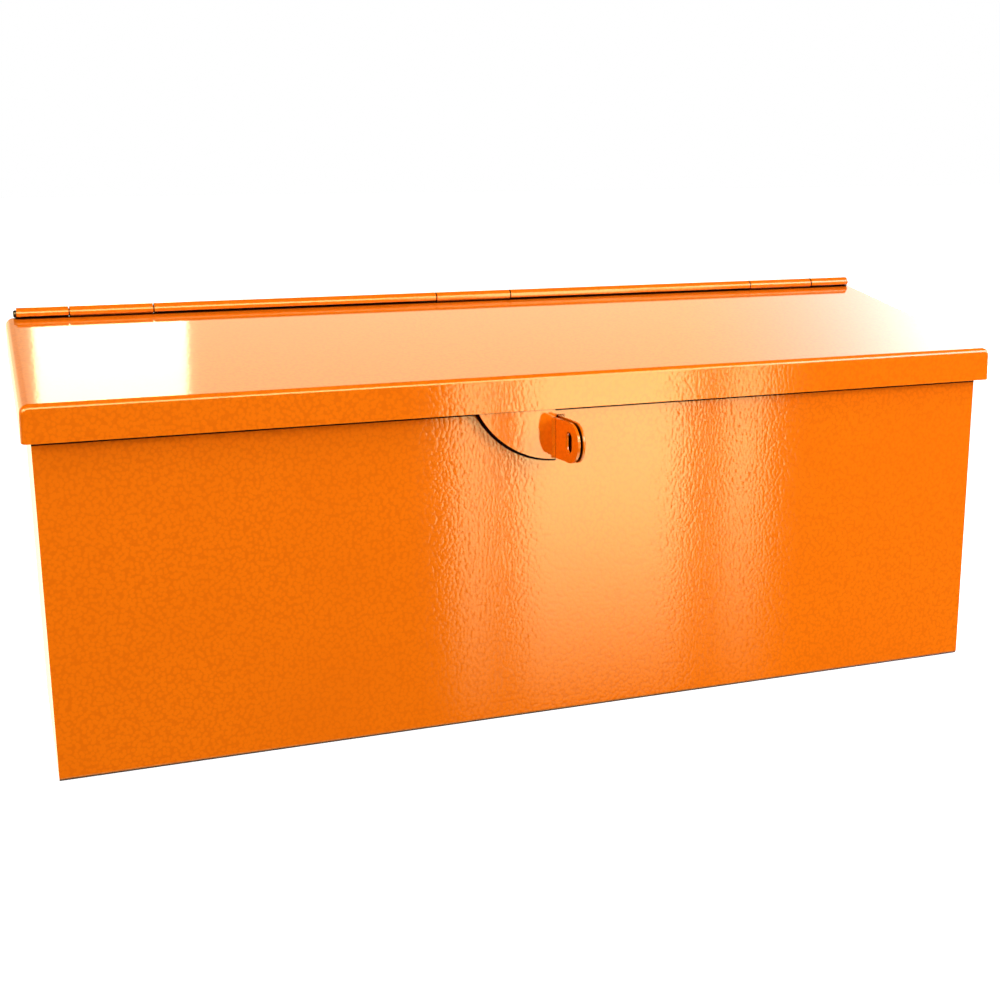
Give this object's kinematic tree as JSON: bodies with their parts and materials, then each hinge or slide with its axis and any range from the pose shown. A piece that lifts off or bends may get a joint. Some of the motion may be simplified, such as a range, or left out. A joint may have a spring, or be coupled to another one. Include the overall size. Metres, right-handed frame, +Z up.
{
  "type": "wall letter box",
  "caption": "Horizontal wall letter box in bent sheet steel with a sloping lid on a rolled wire hinge and twin hasp ears for a small padlock.",
  "frame": {"origin": "centre of the bounding box in plan, on the plane that the base stands on", "axes": "+X along the box, to the right when facing its front; +Y from the front towards the wall; +Z up"},
  "size_m": [0.3892, 0.1264, 0.1595],
  "materials": {
    "case_paint": "gloss pebble-texture powder coat",
    "lid_paint": "gloss pebble-texture powder coat",
    "hasp_paint": "gloss pebble-texture powder coat",
    "pin_steel": "bare drawn wire, painted over at the knuckle gaps"
  },
  "bodies": {
    "case": {"front_and_base_sheet": "case_paint", "back_panel": "case_paint", "left_end_panel": "case_paint", "right_end_panel": "case_paint", "case_hasp_ear": "hasp_paint", "hinge_pin": "pin_steel"},
    "lid": {"lid_panel": "lid_paint", "lid_hasp_tongue": "hasp_paint"}
  },
  "joints": [
    {"name": "lid_hinge", "type": "hinge", "parent": "case", "child": "lid", "pos_m": [0, 0.06087, 0.15708], "axis": [-1, 0, 0], "range_deg": [0, 100]}
  ]
}
